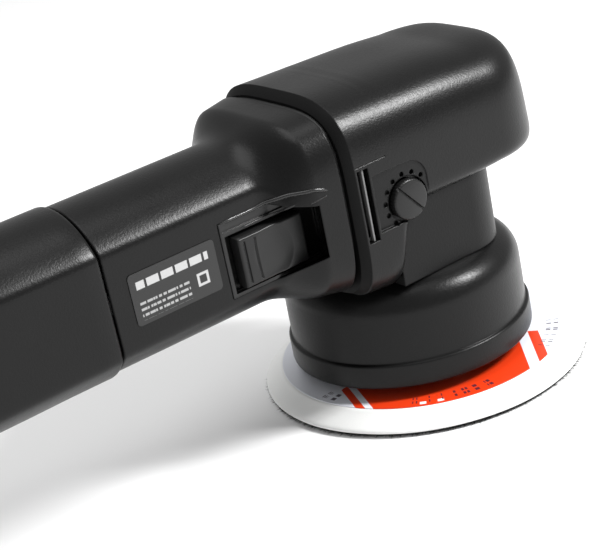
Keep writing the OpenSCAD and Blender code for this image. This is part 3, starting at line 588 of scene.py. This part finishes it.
def bead(path, radius, count=10):
    """A rounded line of plastic along a path, thinning to nothing at both ends."""
    spots = [(i, *spot) for i, spot in enumerate(path)]
    points = np.array([smoothly(t, spots) for t in np.linspace(0, len(path) - 1, BEAD_STEPS)])
    ahead = np.gradient(points, axis=0)
    ahead /= np.linalg.norm(ahead, axis=1)[:, None]
    level = np.cross(ahead, (0, 0, 1))
    level /= np.linalg.norm(level, axis=1)[:, None]
    upright = np.cross(level, ahead)
    from_end = np.minimum(np.arange(BEAD_STEPS), np.arange(BEAD_STEPS - 1, -1, -1))
    thin = np.clip(from_end / 6, 0.12, 1) * radius
    turn = np.arange(count) * 2 * math.pi / count
    c, s = np.cos(turn), np.sin(turn)
    return loft([points[i] + thin[i] * (np.outer(c, level[i]) + np.outer(s, upright[i]))
                 for i in range(BEAD_STEPS)])


def along_housing(spots, out):
    return [(x, on_housing(x, z) - out, z) for x, z in spots]


gloss = moulded("brow_nylon", 0.012, 0.2, 0.0, 0.0, 0.5)
brow = along_housing([(-87.4, 97.6), (-80, 97.7), (-73, 97.8), (-69, 98.3), (-65, 99.2), (-61, 100),
                      (-56, 100.1), (-52, 99.3), (-49.5, 98.2)], -0.05)
lip = ([(-79.5, -24.35, 93.4), (-72, -24.35, 93.5), (-66.5, -25.2, 93.9)]
       + along_housing([(-63, 95.6), (-60.5, 96.3)], -0.1))
tail = along_housing([(-56.5, 95.6), (-54, 96.2), (-50, 96.7)], -0.05)
for name, path, radius in (("brow_upper", brow, 0.7), ("brow_lip", lip, 0.3), ("brow_tail", tail, 0.28)):
    piece(name, bead(path, radius), gloss, "housing", "moulded_plastic")

SLIDER_X, SLIDER_Z, SLIDER_TOP, SLIDER_FOOT = (-82.8, -56.0), (73.0, 91.0), -27.2, -22.0
HOLLOW_X, HOLLOW_Z, HOLLOW_R, ROUNDING = -69.6, 82, 8.2, 0.8
across, down = 108, 74
grid = []
for i in range(across + 1):
    for j in range(down + 1):
        px = SLIDER_X[0] + (SLIDER_X[1] - SLIDER_X[0]) * i / across
        pz = SLIDER_Z[0] + (SLIDER_Z[1] - SLIDER_Z[0]) * j / down
        inset = min(px - SLIDER_X[0], SLIDER_X[1] - px, pz - SLIDER_Z[0], SLIDER_Z[1] - pz)
        rounding = 1.0 - math.sqrt(max(1 - (1 - min(inset / ROUNDING, 1)) ** 2, 0))
        reach = math.hypot(px - HOLLOW_X, (pz - HOLLOW_Z) * 0.86) / HOLLOW_R
        hollow = max(1 - reach**4, 0) * (1.1 + 0.09 * (px - HOLLOW_X)) if reach < 1 else 0
        groove = sum(math.exp(-((px - g) / 0.34) ** 4) for g in (-80.5, -76.1)) if 74.4 < pz < 89.6 else 0
        grid.append((px, SLIDER_TOP + rounding * 0.7 + hollow * 0.85 + groove * 0.5, pz))
cols = down + 1
top = [(i * cols + j, i * cols + j + 1, (i + 1) * cols + j + 1, (i + 1) * cols + j)
       for i in range(across) for j in range(down)]
rim = ([i * cols for i in range(across + 1)] + [across * cols + j for j in range(1, down + 1)]
       + [i * cols + down for i in range(across - 1, -1, -1)] + [j for j in range(down - 1, 0, -1)])
base = len(grid)
grid += [(grid[k][0], SLIDER_FOOT, grid[k][2]) for k in rim]
sides = [(rim[k], rim[(k + 1) % len(rim)], base + (k + 1) % len(rim), base + k) for k in range(len(rim))]
thumb = (grid, top + sides + [tuple(base + k for k in range(len(rim)))])
piece("switch_thumb", thumb, moulded("slider_nylon", 0.009, 0.3, 0.01, 0.0, 0.3), "switch",
      "slider_plastic", "switch_slider", sharp=50)


def metal(name, level, rough, warm=0.0, grain=1.2, stretch=(1, 1, 1), relief=0.012):
    """Bare metal with a worked surface: colour and polish vary with a fine stretched grain."""
    bare = Finish(name, Metallic=1.0)
    grain_noise, stain = bare.noise(grain, 3, stretch), bare.noise(12)
    worn = grain_noise * 0.5 + stain * 0.5
    bare.finish(Base_Color=bare.mix(worn, grey(level * 0.75, warm), grey(level * 1.2, warm)),
                Roughness=rough - 0.06 + grain_noise * 0.16)
    bare.bump(grain_noise, relief, 0.8)
    return bare.material


dress(metal("rod_steel", 0.5, 0.35, 0, 0.6, (12, 1, 1)), "switch_rod")
dress(moulded("case_plastic", 0.01, 0.5, 0.01, 0.0), "switch_block", "fan_baffle", "bearing_sleeve",
      "brush_caps")


# ---- Speed dial ----
# A small black knob in a sunk panel on the hood's side, ribbed round its edge, with a
# pointer slot across its face. A ring of dimples marks its steps.

# radius, depth, how far the ribs stand out
KNOB = [(6.2, -36.9, 0), (7.25, -36.9, 0.05), (7.3, -37.6, 0.05), (7.3, -39.2, 0.05), (7.0, -39.6, 0),
        (6.55, -39.75, 0)]
knob_steps = np.arange(240)
turn, rib = knob_steps * 2 * math.pi / 240, np.cos(knob_steps * 2 * math.pi / 6)
knob = [np.stack([DIAL_X + (r + ribbed * rib) * np.cos(turn), np.full(240, y),
                  DIAL_Z + (r + ribbed * rib) * np.sin(turn)], 1) for r, y, ribbed in KNOB]
slot_turn = math.radians(-50)
along = np.array([math.cos(slot_turn), 0, math.sin(slot_turn)])
across = np.array([-math.sin(slot_turn), 0, math.cos(slot_turn)])
slot = ([np.array([DIAL_X, y, DIAL_Z]) + along * r + across * w
         for y in (-41, -38.5) for r in (-7.6, 7.6) for w in (-0.5, 0.5)], BLOCK_FACES)
piece("speed_knob", loft(knob), moulded("knob_nylon", 0.008, 0.32, 0.01, 0.3, 0.3), "dial",
      "slider_plastic", "speed_dial", cuts=slot, sharp=40)


# ---- Pad foam ----
# Closed-cell white polyurethane moulded onto the backing board. Its side slopes out to a thin
# bottom lip, and its skin is smooth with fine pores.

PAD_X, PAD_R, PAD_TOP_R, PAD_H = 4, 62.5, 55.3, 8
foam = Finish("white_foam", Specular_IOR_Level=0.3)
pores, cloud = foam.noise(0.5, 2), foam.noise(9, 2)
foam.finish(Base_Color=foam.mix(cloud * 0.6 + pores * 0.4, (0.80, 0.81, 0.80, 1), (0.9, 0.9, 0.885, 1)),
            Roughness=0.62 + pores * 0.2)
foam.bump(pores * 0.5 + cloud * 0.5, 0.09, 0.7)
foam_side = [(8.3, 1.55), (PAD_R - 0.5, 1.55), (PAD_R - 0.1, 1.8), (PAD_R, 2.2), (PAD_R - 0.1, 2.7),
             (PAD_R - 0.5, 3.15), (PAD_R - 1.2, 3.7), (PAD_R - 3, 4.95), (PAD_R - 5, 6.35),
             (PAD_TOP_R + 1.0, 7.35),
             (PAD_TOP_R + 0.6, 7.7), (PAD_TOP_R + 0.1, 7.94), (PAD_TOP_R - 1, PAD_H), (44.1, PAD_H),
             (44.1, 6.02), (8.3, 6.02)]
foam_points, foam_faces = turned(foam_side, PAD_X)


def foam_wave(px, py, pz):
    """The small unevenness of the foam's sloped side."""
    on_side = pz < 7 and math.hypot(px - PAD_X, py) > 50
    return 0.05 * math.sin(9 * math.atan2(py, px)) if on_side else 0


foam_points = [(px, py, pz + foam_wave(px, py, pz)) for px, py, pz in foam_points]
pad = piece("pad_cushion", (foam_points, foam_faces), foam.material, "pad", "pad_foam", "pad_foam", sharp=50)


# ---- Printed label ----
# A glossy printed ring bonded to the pad's top: an orange-red sector with a white stripe
# near each end, and small generic dark marks on the pale rest.

label = Finish("printed_label", IOR=1.5)
x, y, z = label.axes()
lx = x - PAD_X
turn = label.maths("ARCTAN2", y, lx) * (180 / math.pi)
radius = label.maths("SQRT", lx * lx + y * y)
first, final = y * 0.336 - lx * 0.942, lx * 0.831 - y * 0.556
sector = label.between(turn, -172, -50) * (first < 40.4) * (final < 43.6)
stripes = label.between(first, 35.1, 37.5) + label.between(final, 35.5, 39.7)
orange = sector * (1 - stripes)
mark_share = label.maths("FRACT", turn / 5.2)
mark_noise = label.node("TexNoise", {"noise_dimensions": "1D"},
                        {"W": label.maths("FLOOR", turn * 1.9), "Scale": 3.7, "Detail": 0.0})
mark_rows = label.between(radius, 48.4, 50.2) + label.between(radius, 51.2, 53.0)
marked = (label.between(turn, -178, -166) + label.between(turn, -136, -96)
          + label.between(turn, -66, -40) + label.between(turn, 20, 120))
marks = (mark_noise > 0.5) * label.between(mark_share, 0.2, 0.75, 0.03) * mark_rows * marked
boxes = label.between(turn, -131, -128.5, 0.2) + label.between(turn, -124, -121.5, 0.2)
boxes = boxes * label.between(radius, 52.2, 54.0)
base = label.mix(orange, (0.78, 0.8, 0.86, 1), (0.72, 0.042, 0.006, 1))
base = label.mix(boxes, base, grey(0.85))
label.finish(Base_Color=label.mix(label.node("Clamp", None, {0: marks * 0.9}), base, (0.03, 0.012, 0.03, 1)),
             Roughness=0.3 + label.noise(2) * 0.1)
label.bump(label.noise(4), 0.02)
label_side = [(8.2, 8.03), (55.0, 8.03), (55.1, 8.15), (55.0, 8.3), (8.2, 8.3)]
piece("label_ring", turned(label_side, PAD_X), label.material, "pad", "printed_label", "pad_label")


# ---- Hook disc ----
# Woven black hook fabric under the foam, cut round with a punch, so its edge is a ragged
# fringe of short nylon hooks.

hook = Finish("hook_fabric", Specular_IOR_Level=0.3)
loops = hook.node("TexVoronoi", None, {"Vector": hook.mm, "Scale": 0.9})
hook.finish(Base_Color=hook.mix(loops, grey(0.03), grey(0.006)),
            Roughness=0.7 + loops * 0.2)
hook.bump(loops, 0.5, 0.9)
rng = np.random.default_rng(7)
count = 900
edge = PAD_R - 0.35 + rng.normal(0, 0.16, count)
low, high = 0.06 + rng.random(count) * 0.35, 1.35 + rng.random(count) * 0.15
rings_of = [(np.full(count, 20.0), np.full(count, 0.02)), (np.full(count, 58.0), np.full(count, 0.02)),
            (edge - 1.9, low * 0.3), (edge - 1.3, low),
            (edge - 0.6 + rng.normal(0, 0.1, count), (low + high) / 2), (edge - 0.1, high),
            (edge - 0.8, np.full(count, 1.5)), (np.full(count, 20.0), np.full(count, 1.5))]
spin = np.arange(count) * 2 * math.pi / count
disc = loft([np.stack([PAD_X + r * np.cos(spin), r * np.sin(spin), h], 1) for r, h in rings_of])
TUFT_HALF = 0.1
tufts = []
for k in range(1100):
    turn, lean = rng.random() * 2 * math.pi, rng.normal(0, 0.25)
    out = np.array([math.cos(turn), math.sin(turn), 0])
    side = np.array([-math.sin(turn), math.cos(turn), 0])
    root = np.array([PAD_X, 0, 0.45 + rng.random() * 0.85]) + out * (PAD_R - 1.1)
    tip = root + out * (0.8 + rng.random() ** 2 * 1.7) + side * lean + np.array([0, 0, rng.normal(0, 0.18)])
    wide, tall = side * TUFT_HALF, np.array([0, 0, TUFT_HALF])
    tufts.append(([root - wide - tall, root + wide - tall, root + tall, tip],
                  [(0, 2, 1), (0, 1, 3), (1, 2, 3), (2, 0, 3)]))
hooks = join_up(disc, *tufts)
hooks[0][:, 2] = np.clip(hooks[0][:, 2], 0.0, 1.5)
piece("hook_fringe", hooks, hook.material, "pad", "hook_fabric", "hook_disc", sharp=60)


# ---- Pad hub ----
# A polished steel ring riveted through the foam to the fibre board, a cream nylon washer,
# and a blackened stud that screws up into the spindle.

dress(metal("polished_steel", 0.62, 0.16, 0, 3, (1, 1, 1), 0.004), "hub_ring", "hub_rivets")
cream = Finish("cream_nylon", Specular_IOR_Level=0.4)
cream.finish(Base_Color=cream.mix(cream.noise(4), (0.74, 0.66, 0.38, 1), (0.82, 0.76, 0.5, 1)),
             Roughness=0.4 + cream.noise(1) * 0.1)
cream.bump(cream.noise(0.8), 0.01)
dress(cream.material, "hub_washer")
board = Finish("fibre_board")
board.finish(Base_Color=board.mix(board.noise(0.9, 4, (5, 1, 1)), (0.4, 0.33, 0.2, 1), (0.6, 0.52, 0.36, 1)),
             Roughness=0.7 + board.noise(1) * 0.1)
board.bump(board.noise(0.8, 4), 0.03)
dress(board.material, "backing_board")
dress(metal("black_oxide", 0.03, 0.42, 0, 0.8), "backing_stud", "bearing_clip", "gear_clip")


# ---- Drive, gears and bearings ----
# Ground steel spindle and bearings, straight bevel gears in pale gear steel, and a cast iron
# counterweight with two trim pockets. All of it turns inside the gear case and the skirt.

dress(metal("ground_steel", 0.5, 0.24, 0, 0.5, (1, 1, 8)), "drive_spindle", "pad_spindle", "armature_shaft",
      "pinion_nut", "brush_springs")
dress(metal("race_steel", 0.56, 0.18, 0, 2), "upper_bearing", "lower_bearing", "eccentric_bearings",
      "front_bearing", "rear_bearing")
dress(metal("gear_steel", 0.36, 0.3, 0.06, 0.7), "crown_gear", "pinion")
dress(metal("weight_iron", 0.2, 0.5, 0.02, 1.5, (1, 1, 1), 0.05), "counterweight")
dress(metal("zinc_screws", 0.48, 0.28, 0.03, 0.9), "plate_screws", "housing_screws", "cover_screws",
      "handle_screws", "weight_screws")


# ---- Motor ----
# A brushed universal motor: laminated core and armature, enamelled copper windings, a copper
# commutator with carbon brushes in phenolic holders, and a white nylon fan.

lamination = Finish("lamination", Metallic=1.0)
x, y, z = lamination.axes()
sheets = lamination.maths("FRACT", x / 0.5)
lamination.finish(Base_Color=lamination.mix(sheets, grey(0.22), grey(0.4)),
                  Roughness=0.4 + lamination.noise(1) * 0.15)
lamination.bump(sheets, 0.06, 0.7)
dress(lamination.material, "stator_core", "armature_core")
copper = Finish("enamelled_copper", Metallic=0.9, Coat_Roughness=0.15)
strands = copper.node("TexWave", {"wave_type": "BANDS", "bands_direction": "DIAGONAL"},
                      {"Vector": copper.mm, "Scale": 0.6, "Distortion": 1.0})
copper.finish(Base_Color=copper.mix(strands, (0.35, 0.1, 0.03, 1), (0.72, 0.27, 0.1, 1)),
              Roughness=0.3 + strands * 0.1)
copper.bump(strands, 0.2, 0.6)
dress(copper.material, "stator_coils", "armature_windings")
dress(metal("bar_copper", 0.42, 0.3, 0.35, 0.5, (8, 1, 1)), "commutator")
carbon = Finish("carbon", Specular_IOR_Level=0.5)
carbon.finish(Base_Color=carbon.mix(carbon.noise(0.8, 4), grey(0.02), grey(0.05)),
              Roughness=0.45 + carbon.noise(0.5) * 0.2)
carbon.bump(carbon.noise(0.4), 0.02)
dress(carbon.material, "carbon_brushes")
phenolic = Finish("phenolic")
phenolic.finish(Base_Color=phenolic.mix(phenolic.noise(2, 4), (0.16, 0.07, 0.025, 1), (0.27, 0.13, 0.05, 1)),
                Roughness=0.4 + phenolic.noise(1) * 0.1)
phenolic.bump(phenolic.noise(1), 0.02)
dress(phenolic.material, "brush_holders")
nylon = Finish("white_nylon", Specular_IOR_Level=0.45)
nylon.finish(Base_Color=nylon.mix(nylon.noise(5), (0.66, 0.64, 0.56, 1), (0.76, 0.74, 0.66, 1)),
             Roughness=0.42 + nylon.noise(0.8) * 0.1)
nylon.bump(nylon.noise(0.8), 0.01)
dress(nylon.material, "cooling_fan")


# ---- Speed control ----
# A small green circuit board in the handle, and a blue potentiometer behind the dial.

circuit = Finish("circuit_board", IOR=1.5)
x, y, z = circuit.axes()
tracks = circuit.maths("FRACT", y / 1.7 + circuit.noise(9) * 1.2) > 0.72
parts_mask = (z > 75.62) * 1.0
green = circuit.mix(tracks, (0.01, 0.09, 0.035, 1), (0.03, 0.2, 0.08, 1))
circuit.finish(Base_Color=circuit.mix(parts_mask, green, grey(0.02)),
               Roughness=0.35 + circuit.noise(1) * 0.1)
circuit.bump(tracks * 1.0, 0.03, 0.6)
dress(circuit.material, "speed_module")
blue = Finish("potentiometer_blue", IOR=1.5)
blue.finish(Base_Color=blue.mix(blue.noise(3), (0.02, 0.08, 0.3, 1), (0.04, 0.14, 0.42, 1)),
            Roughness=0.35 + blue.noise(1) * 0.1)
blue.bump(blue.noise(0.8), 0.01)
dress(blue.material, "potentiometer")
